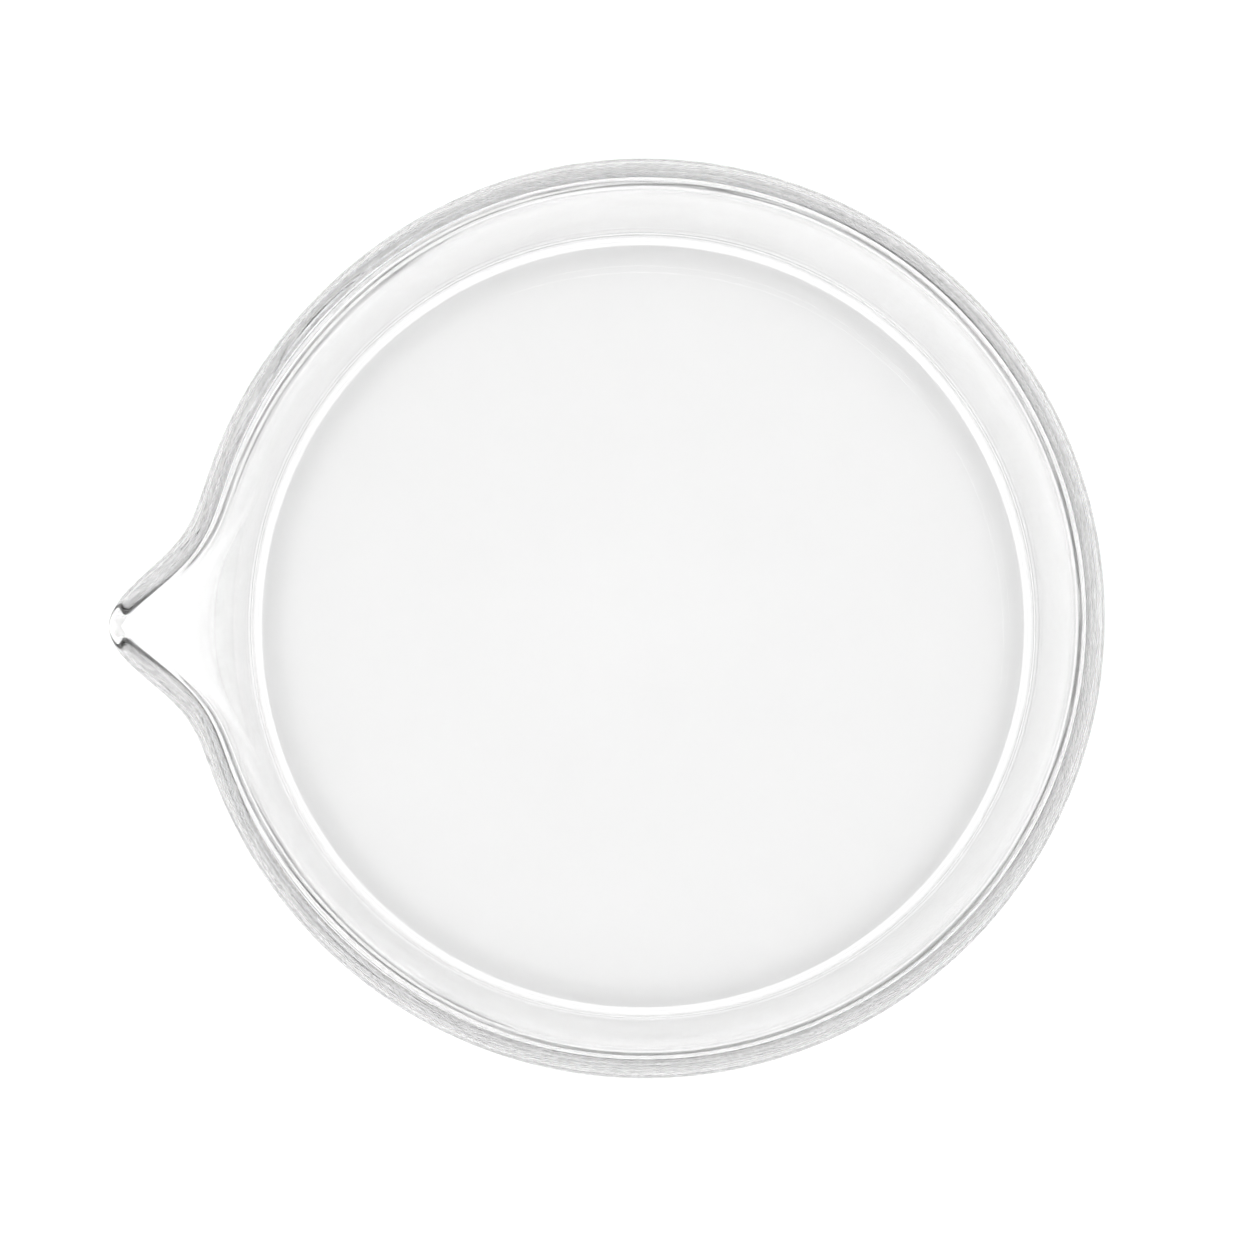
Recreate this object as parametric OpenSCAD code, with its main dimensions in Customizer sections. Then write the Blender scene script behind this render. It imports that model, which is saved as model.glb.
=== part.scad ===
// Laboratory crystallizing dish with a pouring spout, blown as one piece of clear glass.
// The base rests on Z = 0, the axis of the bowl is Z, and the spout points along -X.

/* [Body] */
// Outer diameter of the straight side wall
body_d = 140; // [80:1:230]
// Height from the resting face to the top of the rim
body_h = 75; // [45:1:120]
// Thickness of the side wall
wall_t = 2.6; // [1.6:0.1:4]
// Thickness of the floor
floor_t = 3; // [1.8:0.1:5]
// Radius of the corner between the wall and the base, outside
heel_r = 3.2; // [3:0.1:14]
// Radius of the corner between the wall and the floor, inside, or more if the heel asks for it
corner_r = 2.1; // [1:0.1:14]

/* [Rim] */
// Thickness of the rounded, fire-polished edge
bead_d = 2.9; // [2:0.1:6]
// Height over which the wall swells into that edge
neck_h = 1.5; // [0.8:0.1:4]
// How far the rim leans out past the straight wall
flare_out = 0.35; // [0:0.05:5]
// Height over which the rim leans out
flare_h = 6; // [5:0.5:18]

/* [Spout] */
// How far the middle of the glass moves outward at the nose of the spout
spout_reach = 11.5; // [4:0.5:18]
// Width of the spout along the rim, from one shoulder to the other
spout_w = 64; // [36:1:80]
// Height over which the wall swings outward below the spout
spout_h = 50; // [20:1:60]
// How late the wall swings outward on its way up, larger is later
spout_curl = 5; // [2:0.5:8]
// How far the nose stands upright again at the edge, where 1 is fully upright
spout_upright = 0.85; // [0:0.05:1]
// How firmly the flanks fold into the trough, larger is firmer
spout_fold = 2; // [1:0.5:4]
// How far the nose dips below the rim
spout_dip = 1.5; // [0:0.1:4]
// How pointed the spout is in plan, larger is narrower
spout_point = 8; // [4:0.5:14]
// How rounded the nose is in plan, smaller is sharper
spout_round = 1.7; // [1.4:0.05:2.2]
// How much thicker the rounded edge is at the nose than round the rim
spout_bead = 1; // [0:0.1:1.6]
// How much glass is lost from each face of the wall where the spout is pressed out
spout_thin = 0.08; // [0.08:0.01:0.3]

/* [Smoothness] */
// Facets around the bowl
round_steps = 180; // [60:12:360]
// Columns of the spout, from one shoulder to the other
spout_columns = 48; // [24:4:64]
// Rows up each side of the wall where the spout is
side_rows = 14; // [8:1:20]
// Facets over the top of the rounded edge
bead_steps = 10; // [6:1:16]

/* [Hidden] */
glass = [0.86, 0.93, 0.95, 0.4];

wall_or = body_d / 2;
wall_ir = wall_or - wall_t;
wall_mid_r = wall_or - wall_t / 2;
bead_r = bead_d / 2;

// The glass is never thinner in the corner than the floor
floor_corner_r = max(corner_r, heel_r - floor_t);

// The spout's glass is let into the turned wall by this much beside it and below it
seat_a = 1.5;
seat_h = 2;

// The upper wall carries the flare and the spout, and stays clear of the corners
bead_z = body_h - bead_r;
upper_z = max(bead_z - spout_h, max(heel_r, floor_t + floor_corner_r) + seat_h);
upper_h = bead_z - upper_z;
flare_z = bead_z - flare_h;
neck_z = bead_z - neck_h;

// The spout reaches this far, in degrees, to each side of its middle
spout_half_a = spout_w / 2 / (wall_or + flare_out) * 180 / PI;
spout_half_rad = spout_half_a * PI / 180;
spout_dir = 180;

// Rows crowd towards the edge and columns towards the nose, where the glass bends most
row_crowding = 1.6;
column_crowding = 1.4;

// Share of the spout's reach at an angle from its middle: 1 at the nose, 0 at the shoulders
function spread(a) = pow(1 - pow(aside(a), spout_round), spout_point);

// How far an angle is on its way from the nose, 0, to the shoulder, 1
function aside(a) = min(1, abs(a) / spout_half_a);

// Change of that share for each radian away from the nose
function spread_slope(a) =
    -spout_point * spout_round / spout_half_rad * pow(aside(a), spout_round - 1)
    * pow(1 - pow(aside(a), spout_round), spout_point - 1);

// Share of the way up a stretch that starts at a height, held between 0 and 1
function rise(z, start, length) = min(1, max(0, (z - start) / length));

// A share that starts and ends gently, and its slope
function ease(u) = u * u * (3 - 2 * u);
function ease_slope(u) = 6 * u * (1 - u);

// Share of the spout's reach at a height, and its slope: it starts late and slackens at the top
function growth(z) = pow(rise(z, upper_z, upper_h), spout_curl)
    * (1 + spout_curl * (1 - spout_upright * rise(z, upper_z, upper_h)))
    / (1 + spout_curl * (1 - spout_upright));
function growth_slope(z) = spout_curl * (1 + spout_curl) / upper_h
    * pow(rise(z, upper_z, upper_h), spout_curl - 1)
    * (1 - spout_upright * rise(z, upper_z, upper_h))
    / (1 + spout_curl * (1 - spout_upright));

// The smooth lesser of two shares, with which the flanks fold into the trough
function lesser(one, other) =
    one > 0 && other > 0 ? one * other / pow(mixed(one, other), 1 / spout_fold) : 0;
function mixed(one, other) =
    pow(one, spout_fold) + pow(other, spout_fold) - pow(one * other, spout_fold);

// How fast that lesser share grows with the one
function lesser_slope(one, other) =
    other > 0 ? pow(pow(other, spout_fold) / mixed(one, other), 1 + 1 / spout_fold) : 0;

// Outward shift of the middle of the wall at a height, where the spout has a share of its reach
function shift(z, share) =
    flare_out * ease(rise(z, flare_z, flare_h)) + spout_reach * lesser(growth(z), share);

// Lean of the middle of the wall from upright, in degrees
function lean(z, share) = atan(
    flare_out / flare_h * ease_slope(rise(z, flare_z, flare_h))
    + spout_reach * lesser_slope(growth(z), share) * growth_slope(z));

// Radius of the rounded edge, which is thickest at the nose
function edge_r(share) = bead_r + spout_bead / 2 * sqrt(share);

// Half the thickness of the glass at a height: the wall's, growing to the rounded edge's
function half_t(z, share) =
    wall_t / 2 + (edge_r(share) - wall_t / 2) * ease(rise(z, neck_z, neck_h));

// Where the contour runs at a slant round the rim, a cut through the axis meets the wall
// at the same slant and shows it thicker by this factor
function slant(z, a) = sqrt(1 + pow(
    spout_reach * spread_slope(a) * lesser_slope(spread(a), growth(z))
    / (wall_mid_r + shift(z, spread(a))), 2));

// Drop of the nose, which grows with the height as the spout does, and of a thicker edge
function dip(z, a) =
    spout_dip * lesser(spread(a), growth(z))
    + (edge_r(spread(a)) - bead_r) * ease(rise(z, neck_z, neck_h));

// One point of the section: a height on the middle of the wall, then a distance from that
// middle in a direction, in degrees, where 0 is outward and 90 is up
function section_point(z, a, distance, direction) = [
    wall_mid_r + shift(z, spread(a)) + distance * cos(direction) * slant(z, a),
    z + distance * sin(direction) - dip(z, a)
];

// Section of the upper wall and its rounded edge at an angle from the middle of the spout, from
// a height upward: up the inside, over the edge, down the outside. Each face loses some glass.
function section(a, from_z, loss) =
    let (
        share = spread(a),
        top_lean = lean(bead_z, share),
        heights = [for (i = [0:side_rows - 1])
            from_z + (bead_z - from_z) * (1 - pow(1 - i / side_rows, row_crowding))],
        inside = [for (z = heights)
            section_point(z, a, half_t(z, share) - loss, 180 - lean(z, share))],
        outside = [for (z = heights)
            section_point(z, a, half_t(z, share) - loss, -lean(z, share))]
    )
    concat(
        inside,
        [for (i = [0:bead_steps])
            section_point(bead_z, a, edge_r(share) - loss, 180 - top_lean - 180 * i / bead_steps)],
        [for (i = [side_rows - 1:-1:0]) outside[i]]
    );

// Plain block of a radius and height in section, with its lower outer corner rounded
module rounded_block(radius, height, corner) {
    translate([0, corner])
        square([radius, height - corner]);
    square([radius - corner, height]);
    translate([radius - corner, corner])
        circle(corner, $fn = round_steps);
}

// Section of the floor, the corner and the straight wall, up to where the upper wall starts
module lower_section() {
    intersection() {
        difference() {
            rounded_block(wall_or, upper_z, heel_r);
            translate([0, floor_t])
                rounded_block(wall_ir, body_h, floor_corner_r);
        }
        square([wall_or, upper_z]);
    }
}

// The spout: the section of the upper wall, carried from shoulder to shoulder
module spout() {
    end_a = spout_half_a + seat_a;
    steps = [for (i = [0:spout_columns]) 2 * i / spout_columns - 1];
    angles = [for (t = steps) end_a * sign(t) * pow(abs(t), column_crowding)];
    sections = [for (a = angles) section(a, upper_z - seat_h, spout_thin)];
    ring = len(sections[0]);
    half_ring = floor(ring / 2);
    last = spout_columns * ring;
    points = [for (i = [0:spout_columns]) for (p = sections[i])
        [p[0] * cos(angles[i]), p[0] * sin(angles[i]), p[1]]];
    skin = [for (i = [0:spout_columns - 1]) for (k = [0:ring - 1])
        let (here = i * ring + k, next = i * ring + (k + 1) % ring)
        [here, here + ring, next + ring, next]];
    first_end = [for (k = [0:half_ring - 1])
        [k, k + 1, ring - 2 - k, ring - 1 - k]];
    last_end = [for (k = [0:half_ring - 1])
        [last + k, last + ring - 1 - k, last + ring - 2 - k, last + k + 1]];
    polyhedron(points, concat(skin, first_end, last_end));
}

// The whole dish, one solid
module dish() {
    color(glass)
        rotate(spout_dir)
        union() {
            rotate_extrude($fn = round_steps)
                lower_section();
            rotate_extrude(angle = 360 - 2 * spout_half_a, start = spout_half_a, $fn = round_steps)
                polygon(section(spout_half_a, upper_z, 0));
            spout();
        }
}

dish();
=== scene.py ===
# A crystallizing dish of clear glass on a white table, seen from above as in the photograph.
# The glass is one smooth mesh, worked out from the same sizes as the CAD solid that it replaces,
# apart from its fine waves and the edge of its nose.
import math

import bmesh
import bpy
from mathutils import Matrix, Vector


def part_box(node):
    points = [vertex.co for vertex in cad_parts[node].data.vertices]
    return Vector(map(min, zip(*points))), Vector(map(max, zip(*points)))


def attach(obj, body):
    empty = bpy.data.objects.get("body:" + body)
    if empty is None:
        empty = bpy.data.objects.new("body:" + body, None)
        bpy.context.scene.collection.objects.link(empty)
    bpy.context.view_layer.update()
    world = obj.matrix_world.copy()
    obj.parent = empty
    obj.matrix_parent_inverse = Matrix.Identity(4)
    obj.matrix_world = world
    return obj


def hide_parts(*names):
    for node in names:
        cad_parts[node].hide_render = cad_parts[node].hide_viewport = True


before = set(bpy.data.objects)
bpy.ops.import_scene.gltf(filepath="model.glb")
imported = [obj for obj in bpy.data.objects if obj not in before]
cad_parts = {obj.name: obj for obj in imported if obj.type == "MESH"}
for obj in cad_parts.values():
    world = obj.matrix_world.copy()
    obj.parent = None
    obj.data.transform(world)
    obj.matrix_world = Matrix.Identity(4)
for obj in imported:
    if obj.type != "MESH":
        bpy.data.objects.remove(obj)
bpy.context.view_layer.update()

MM = 0.001
QUARTER_TURN = math.pi / 2

# Sizes taken from the frame: the height of the dish, its rim and the nose of its spout
box_low, box_high = (Vector(corner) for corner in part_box("dish"))
BODY_H = box_high.z
RIM_R = box_high.y
NOSE_R = -box_low.x

# Section of the glass
WALL_T = 2.6 * MM
FLOOR_T = 3.0 * MM
HEEL_R = 3.2 * MM
CORNER_R = 2.1 * MM
BEAD_R = 1.45 * MM
NECK_H = 1.5 * MM
FLARE_OUT = 0.35 * MM
FLARE_H = 6.0 * MM
WALL_MID_R = RIM_R - BEAD_R - FLARE_OUT
WALL_OR = WALL_MID_R + WALL_T / 2
WALL_IR = WALL_MID_R - WALL_T / 2

# The spout: how much thicker its edge is at the nose than round the rim, how far its glass moves
# outward and down, its arc and how it opens on its way up. The CAD solid's edge is 1 mm thicker at
# the nose, but that much glass breaks the outline of the nose in the picture.
SPOUT_BEAD = 0.4 * MM
SPOUT_REACH = NOSE_R - RIM_R - SPOUT_BEAD / 2
SPOUT_W = 64.0 * MM
SPOUT_H = 50.0 * MM
SPOUT_CURL = 5.0
SPOUT_UPRIGHT = 0.85
SPOUT_FOLD = 2.0
SPOUT_DIP = 1.5 * MM
SPOUT_POINT = 8.0
SPOUT_ROUND = 1.7
SPOUT_DIR = math.pi
SPOUT_HALF = SPOUT_W / 2 / (WALL_OR + FLARE_OUT)

# The waves that drawing and pressing leave in the glass. They are far finer than the form of the
# dish, and strongest beside the spout's shoulders: each pair is for the whole rim, and what the
# pull of the press adds there.
PULLED_AT = math.radians(42)
PULLED_OVER = math.radians(22)
WAIST = (0.1 * MM, 0.6 * MM)
WAIST_DEPTH = 11.0 * MM
WAIST_SPAN = 8.0 * MM
RIPPLE = (0.02 * MM, 0.06 * MM)
RIPPLE_LENGTH = 4.4 * MM
RIPPLE_START = 1.0 * MM
RIPPLE_DEPTH = 18.0 * MM
FOOT_RIPPLE = 0.03 * MM
FOOT_RIPPLE_LENGTH = 3.0 * MM
FOOT_RIPPLE_H = 10.0 * MM

# Two ripples run together: share of the ripple and of its length, start, way in which it drifts
# round the dish, and how far the outside is ahead of the inside
RIPPLES = [(1.0, 1.0, 0.0, 1, 1.3), (0.6, 0.61, 2.1, -1, 0.9)]

# How they drift: size, times round the dish, start
DRIFTS = [(0.7, 2, 0.4), (0.5, 3, 1.9), (0.3, 5, 0.0)]

# Heights where the upper wall, the flare and the neck start
BEAD_Z = BODY_H - BEAD_R
UPPER_Z = BEAD_Z - SPOUT_H
FLARE_Z = BEAD_Z - FLARE_H
NECK_Z = BEAD_Z - NECK_H

# Fineness of the mesh
FLOOR_RINGS = 4
ARC_STEPS = 12
WALL_ROWS = 4
FOOT_ROWS = 20
UPPER_ROWS = 54
BEAD_STEPS = 56
SPOUT_COLUMNS = 160
ROUND_COLUMNS = 250
ROW_CROWDING = 1.6
COLUMN_CROWDING = 1.4

# The glass: how it bends light, how it darkens in depth, and its slow, faint waviness
GLASS_IOR = 1.473
DEPTH_COLOR = (0.8, 0.8, 0.8, 1)
DEPTH_DENSITY = 15.0
WAVINESS_SCALE = 32.0
WAVINESS_STRENGTH = 0.06
WAVINESS_HEIGHT = 1.0 * MM

# The table under the dish
TABLE_HALF = 6.0
TABLE_GAP = 0.2 * MM
TABLE_COLOR = (0.9, 0.9, 0.9, 1)

# Brightness of the studio by the height of a direction, from -1 below through 0 level to 1 above
STUDIO = [(-1.0, 1.0), (0.08, 1.0), (0.2, 2.95), (0.6, 2.95), (0.7, 0.1), (1.0, 0.1)]

# How often light may turn inside the glass wall, and be scattered by the table
GLASS_TURNS = 32
TABLE_TURNS = 2

# The photograph's frame: its width, and the rim's radius and middle in it, in pixels
PHOTO_PX = 1254
PHOTO_RIM_PX = 460.0
PHOTO_MIDDLE_PX = (645.05, 617.65)
CAMERA_ABOVE_RIM = 0.521
CAMERA_TILT = math.radians(1.0)
CAMERA_ROLL = math.radians(-1.0)
SENSOR_MM = 36.0


def aside(a):
    """How far an angle is on its way from the nose, 0, to the shoulder, 1."""
    return min(1.0, abs(a) / SPOUT_HALF)


def spread(a):
    """Share of the spout's reach at an angle from its middle."""
    return (1 - aside(a) ** SPOUT_ROUND) ** SPOUT_POINT


def spread_slope(a):
    """Change of that share for each radian away from the nose."""
    u = aside(a)
    bend = (1 - u ** SPOUT_ROUND) ** (SPOUT_POINT - 1)
    return -SPOUT_POINT * SPOUT_ROUND / SPOUT_HALF * u ** (SPOUT_ROUND - 1) * bend


def rise(z, start, length):
    """Share of the way up a stretch that starts at a height."""
    return min(1.0, max(0.0, (z - start) / length))


def ease(u):
    """A share that starts and ends gently."""
    return u * u * (3 - 2 * u)


def ease_slope(u):
    """Slope of that share."""
    return 6 * u * (1 - u)


def growth(z):
    """Share of the spout's reach at a height, which starts late and slackens at the top."""
    u = rise(z, UPPER_Z, SPOUT_H)
    top = 1 + SPOUT_CURL * (1 - SPOUT_UPRIGHT)
    return u ** SPOUT_CURL * (1 + SPOUT_CURL * (1 - SPOUT_UPRIGHT * u)) / top


def growth_slope(z):
    """Change of that share for each metre up."""
    u = rise(z, UPPER_Z, SPOUT_H)
    top = 1 + SPOUT_CURL * (1 - SPOUT_UPRIGHT)
    slope = SPOUT_CURL * (1 + SPOUT_CURL) / SPOUT_H / top
    return slope * u ** (SPOUT_CURL - 1) * (1 - SPOUT_UPRIGHT * u)


def mixed(one, other):
    """The sum that the smooth lesser of two shares is worked out with."""
    return one ** SPOUT_FOLD + other ** SPOUT_FOLD - (one * other) ** SPOUT_FOLD


def lesser(one, other):
    """The smooth lesser of two shares, with which the flanks fold into the trough."""
    if one <= 0 or other <= 0:
        return 0.0
    return one * other / mixed(one, other) ** (1 / SPOUT_FOLD)


def lesser_slope(one, other):
    """How fast that lesser share grows with the one."""
    if other <= 0:
        return 0.0
    return (other ** SPOUT_FOLD / mixed(one, other)) ** (1 + 1 / SPOUT_FOLD)


def shift(z, share):
    """Outward shift of the middle of the wall at a height."""
    flare = FLARE_OUT * ease(rise(z, FLARE_Z, FLARE_H))
    return flare + SPOUT_REACH * lesser(growth(z), share)


def lean(z, share):
    """Lean of the middle of the wall from upright."""
    flare = FLARE_OUT / FLARE_H * ease_slope(rise(z, FLARE_Z, FLARE_H))
    return math.atan(flare + SPOUT_REACH * lesser_slope(growth(z), share) * growth_slope(z))


def edge_r(share):
    """Radius of the rounded edge, which is thickest at the nose."""
    return BEAD_R + SPOUT_BEAD / 2 * math.sqrt(share)


def half_t(z, share):
    """Half the thickness of the glass at a height."""
    return WALL_T / 2 + (edge_r(share) - WALL_T / 2) * ease(rise(z, NECK_Z, NECK_H))


def slant(z, a):
    """How much thicker a cut through the axis shows glass that runs at a slant round the rim."""
    share = spread(a)
    turn = SPOUT_REACH * spread_slope(a) * lesser_slope(share, growth(z))
    return math.hypot(1, turn / (WALL_MID_R + shift(z, share)))


def dip(z, a):
    """Drop of the nose, and of the middle of an edge that is thicker than round the rim."""
    share = spread(a)
    thicker = (edge_r(share) - BEAD_R) * ease(rise(z, NECK_Z, NECK_H))
    return SPOUT_DIP * lesser(share, growth(z)) + thicker


def drift(a):
    """How far the waves have drifted at an angle round the dish."""
    return sum(size * math.sin(times * a + start) for size, times, start in DRIFTS)


def pulled(a):
    """Share of the pull of the press at an angle, greatest beside the shoulders of the spout."""
    from_nose = abs(math.remainder(a, math.tau))
    return math.exp(-((from_nose - PULLED_AT) / PULLED_OVER) ** 2)


def rim_waves(z, a, outside):
    """Outward offset of a face of the glass under the rim: a slight waist and fine ripples."""
    depth = BEAD_Z - z
    waist = WAIST[0] + WAIST[1] * pulled(a)
    ripple = RIPPLE[0] + RIPPLE[1] * pulled(a)
    fade = (1 - min(1.0, depth / RIPPLE_DEPTH)) ** 2 * min(1.0, depth / RIPPLE_START)
    turn = math.tau * depth / RIPPLE_LENGTH
    waves = sum(share * math.sin(turn / length + start + way * drift(a) + ahead * outside)
                for share, length, start, way, ahead in RIPPLES)
    hollow = math.exp(-((depth - WAIST_DEPTH) / WAIST_SPAN) ** 2)
    return ripple * fade * waves - waist * hollow


def foot_waves(z, a):
    """Outward offset of the inside of the wall just over the floor."""
    up = z - FLOOR_T - CORNER_R
    fade = math.sin(math.pi * min(1.0, up / FOOT_RIPPLE_H)) ** 2
    return FOOT_RIPPLE * fade * math.sin(math.tau * up / FOOT_RIPPLE_LENGTH + drift(a))


def section_point(z, a, distance, direction):
    """A point at a distance from the middle of the wall, in the section at an angle."""
    middle = WALL_MID_R + shift(z, spread(a)) + rim_waves(z, a, math.cos(direction) > 0)
    radius = middle + distance * math.cos(direction) * slant(z, a)
    return radius, z + distance * math.sin(direction) - dip(z, a)


def arc(radius, height, size, start, end):
    """Points on a quarter turn round a centre in the section."""
    turns = [start + (end - start) * i / ARC_STEPS for i in range(ARC_STEPS + 1)]
    return [(radius + size * math.cos(t), height + size * math.sin(t)) for t in turns]


def section(a):
    """Section at an angle: over the floor, up the inside, over the edge, down the outside and
    back under the floor."""
    share = spread(a)
    top_lean = lean(BEAD_Z, share)
    corner_z = FLOOR_T + CORNER_R
    corner_start = WALL_IR - CORNER_R
    heel_start = WALL_OR - HEEL_R
    foot = [corner_z + (UPPER_Z - corner_z) * (i / FOOT_ROWS) ** ROW_CROWDING
            for i in range(1, FOOT_ROWS)]
    heights = [UPPER_Z + SPOUT_H * (1 - (1 - i / UPPER_ROWS) ** ROW_CROWDING)
               for i in range(UPPER_ROWS)]
    turns = [math.pi - top_lean - math.pi * i / BEAD_STEPS for i in range(BEAD_STEPS + 1)]
    points = [(corner_start * i / FLOOR_RINGS, FLOOR_T) for i in range(1, FLOOR_RINGS)]
    points += arc(corner_start, corner_z, CORNER_R, -QUARTER_TURN, 0)
    points += [(WALL_IR + foot_waves(z, a), z) for z in foot]
    points += [section_point(z, a, half_t(z, share), math.pi - lean(z, share)) for z in heights]
    points += [section_point(BEAD_Z, a, edge_r(share), t) for t in turns]
    points += [section_point(z, a, half_t(z, share), -lean(z, share)) for z in reversed(heights)]
    points += [(WALL_OR, UPPER_Z - (UPPER_Z - HEEL_R) * i / WALL_ROWS) for i in range(1, WALL_ROWS)]
    points += arc(heel_start, HEEL_R, HEEL_R, 0, -QUARTER_TURN)
    points += [(heel_start * (1 - i / FLOOR_RINGS), 0.0) for i in range(1, FLOOR_RINGS)]
    return points


def column_angles():
    """Angles round the dish from the middle of the spout, closest together at its nose."""
    steps = [2 * i / SPOUT_COLUMNS - 1 for i in range(SPOUT_COLUMNS + 1)]
    angles = [SPOUT_HALF * math.copysign(abs(t) ** COLUMN_CROWDING, t) for t in steps]
    rest = math.tau - 2 * SPOUT_HALF
    return angles + [SPOUT_HALF + rest * i / ROUND_COLUMNS for i in range(1, ROUND_COLUMNS)]


def glass_mesh():
    """The whole dish as one closed mesh."""
    bm = bmesh.new()
    inner_middle = bm.verts.new((0, 0, FLOOR_T))
    outer_middle = bm.verts.new((0, 0, 0))
    columns = []
    for a in column_angles():
        c = math.cos(SPOUT_DIR + a)
        s = math.sin(SPOUT_DIR + a)
        columns.append([bm.verts.new((r * c, r * s, z)) for r, z in section(a)])
    for here, after in zip(columns, columns[1:] + columns[:1]):
        bm.faces.new((inner_middle, here[0], after[0]))
        for k in range(len(here) - 1):
            bm.faces.new((here[k], here[k + 1], after[k + 1], after[k]))
        bm.faces.new((outer_middle, after[-1], here[-1]))
    bmesh.ops.recalc_face_normals(bm, faces=bm.faces)
    for face in bm.faces:
        face.smooth = True
    mesh = bpy.data.meshes.new("dish_glass")
    bm.to_mesh(mesh)
    bm.free()
    return mesh


def node(tree, kind, **sockets):
    """A new node with some of its inputs set."""
    made = tree.nodes.new(kind)
    for name, value in sockets.items():
        made.inputs[name.replace("_", " ")].default_value = value
    return made


def glass_material():
    """Clear glass with a slow, faint waviness, that darkens in depth."""
    mat = bpy.data.materials.new("clear_glass")
    mat.use_nodes = True
    tree = mat.node_tree
    tree.nodes.clear()
    link = tree.links.new
    out = node(tree, "ShaderNodeOutputMaterial")
    glass = node(tree, "ShaderNodeBsdfPrincipled", Base_Color=(1, 1, 1, 1), Roughness=0.0,
                 Transmission_Weight=1.0, IOR=GLASS_IOR)
    depth = node(tree, "ShaderNodeVolumeAbsorption", Color=DEPTH_COLOR, Density=DEPTH_DENSITY)
    place = node(tree, "ShaderNodeTexCoord")
    waves = node(tree, "ShaderNodeTexNoise", Scale=WAVINESS_SCALE, Detail=0.0)
    bump = node(tree, "ShaderNodeBump", Strength=WAVINESS_STRENGTH, Distance=WAVINESS_HEIGHT)
    link(place.outputs["Object"], waves.inputs["Vector"])
    link(waves.outputs["Fac"], bump.inputs["Height"])
    link(bump.outputs["Normal"], glass.inputs["Normal"])
    link(glass.outputs["BSDF"], out.inputs["Surface"])
    link(depth.outputs["Volume"], out.inputs["Volume"])
    return mat


def add_dish():
    """The glass dish, which stands for the CAD solid."""
    dish = bpy.data.objects.new("dish_glass", glass_mesh())
    bpy.context.scene.collection.objects.link(dish)
    dish.data.materials.append(glass_material())
    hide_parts("dish")
    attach(dish, "root")


def table_material():
    """White matt table, which catches the light and the dish's shadow."""
    mat = bpy.data.materials.new("table_white")
    mat.use_nodes = True
    tree = mat.node_tree
    tree.nodes.clear()
    out = node(tree, "ShaderNodeOutputMaterial")
    paint = node(tree, "ShaderNodeBsdfDiffuse", Color=TABLE_COLOR)
    tree.links.new(paint.outputs["BSDF"], out.inputs["Surface"])
    return mat


def add_table():
    """A wide white table just under the dish."""
    mesh = bpy.data.meshes.new("table")
    s = TABLE_HALF
    mesh.from_pydata([(-s, -s, 0), (s, -s, 0), (s, s, 0), (-s, s, 0)], [], [(0, 1, 2, 3)])
    table = bpy.data.objects.new("table", mesh)
    table.location.z = -TABLE_GAP
    bpy.context.scene.collection.objects.link(table)
    mesh.materials.append(table_material())


def add_studio():
    """The light of the room: a bright band of soft boxes all round, white level with the table
    and dark overhead, where the camera is. It is found by the bounces of light alone, because
    most of it reaches the table through glass."""
    world = bpy.data.worlds.new("studio")
    bpy.context.scene.world = world
    world.use_nodes = True
    world.cycles.sampling_method = "NONE"
    tree = world.node_tree
    tree.nodes.clear()
    link = tree.links.new
    out = node(tree, "ShaderNodeOutputWorld")
    light = node(tree, "ShaderNodeBackground")
    place = node(tree, "ShaderNodeTexCoord")
    split = node(tree, "ShaderNodeSeparateXYZ")
    span = node(tree, "ShaderNodeMapRange", From_Min=-1.0)
    ramp = node(tree, "ShaderNodeValToRGB")
    stops = ramp.color_ramp.elements
    while len(stops) > 1:
        stops.remove(stops[0])
    for i, (height, level) in enumerate(STUDIO):
        position = (height + 1) / 2
        stop = stops[0] if i == 0 else stops.new(position)
        stop.position = position
        stop.color = (level, level, level, 1)
    link(place.outputs["Generated"], split.inputs["Vector"])
    link(split.outputs["Z"], span.inputs["Value"])
    link(span.outputs["Result"], ramp.inputs["Fac"])
    link(ramp.outputs["Color"], light.inputs["Color"])
    link(light.outputs["Background"], out.inputs["Surface"])


def add_camera():
    """The camera, almost straight above the dish, with the photograph's frame."""
    px = RIM_R / PHOTO_RIM_PX
    half = PHOTO_PX / 2
    aim = Vector(((half - PHOTO_MIDDLE_PX[0]) * px, (PHOTO_MIDDLE_PX[1] - half) * px, BEAD_Z))
    away = Vector((0, -math.sin(CAMERA_TILT), math.cos(CAMERA_TILT)))
    data = bpy.data.cameras.new("camera")
    data.sensor_width = SENSOR_MM
    data.lens = SENSOR_MM * CAMERA_ABOVE_RIM / (PHOTO_PX * px)
    camera = bpy.data.objects.new("camera", data)
    bpy.context.scene.collection.objects.link(camera)
    camera.location = aim + away * CAMERA_ABOVE_RIM
    camera.rotation_euler = (CAMERA_TILT, 0, 0)
    camera.rotation_euler.rotate_axis("Z", CAMERA_ROLL)
    bpy.context.scene.camera = camera


def set_light_paths():
    """Room for light to run up and down inside the glass wall, with nothing blurred on its way."""
    cycles = bpy.context.scene.cycles
    cycles.max_bounces = GLASS_TURNS
    cycles.transmission_bounces = GLASS_TURNS
    cycles.glossy_bounces = GLASS_TURNS
    cycles.diffuse_bounces = TABLE_TURNS
    cycles.blur_glossy = 0.0


add_camera()
add_dish()
add_table()
add_studio()
set_light_paths()
bpy.context.scene.view_settings.view_transform = "Standard"
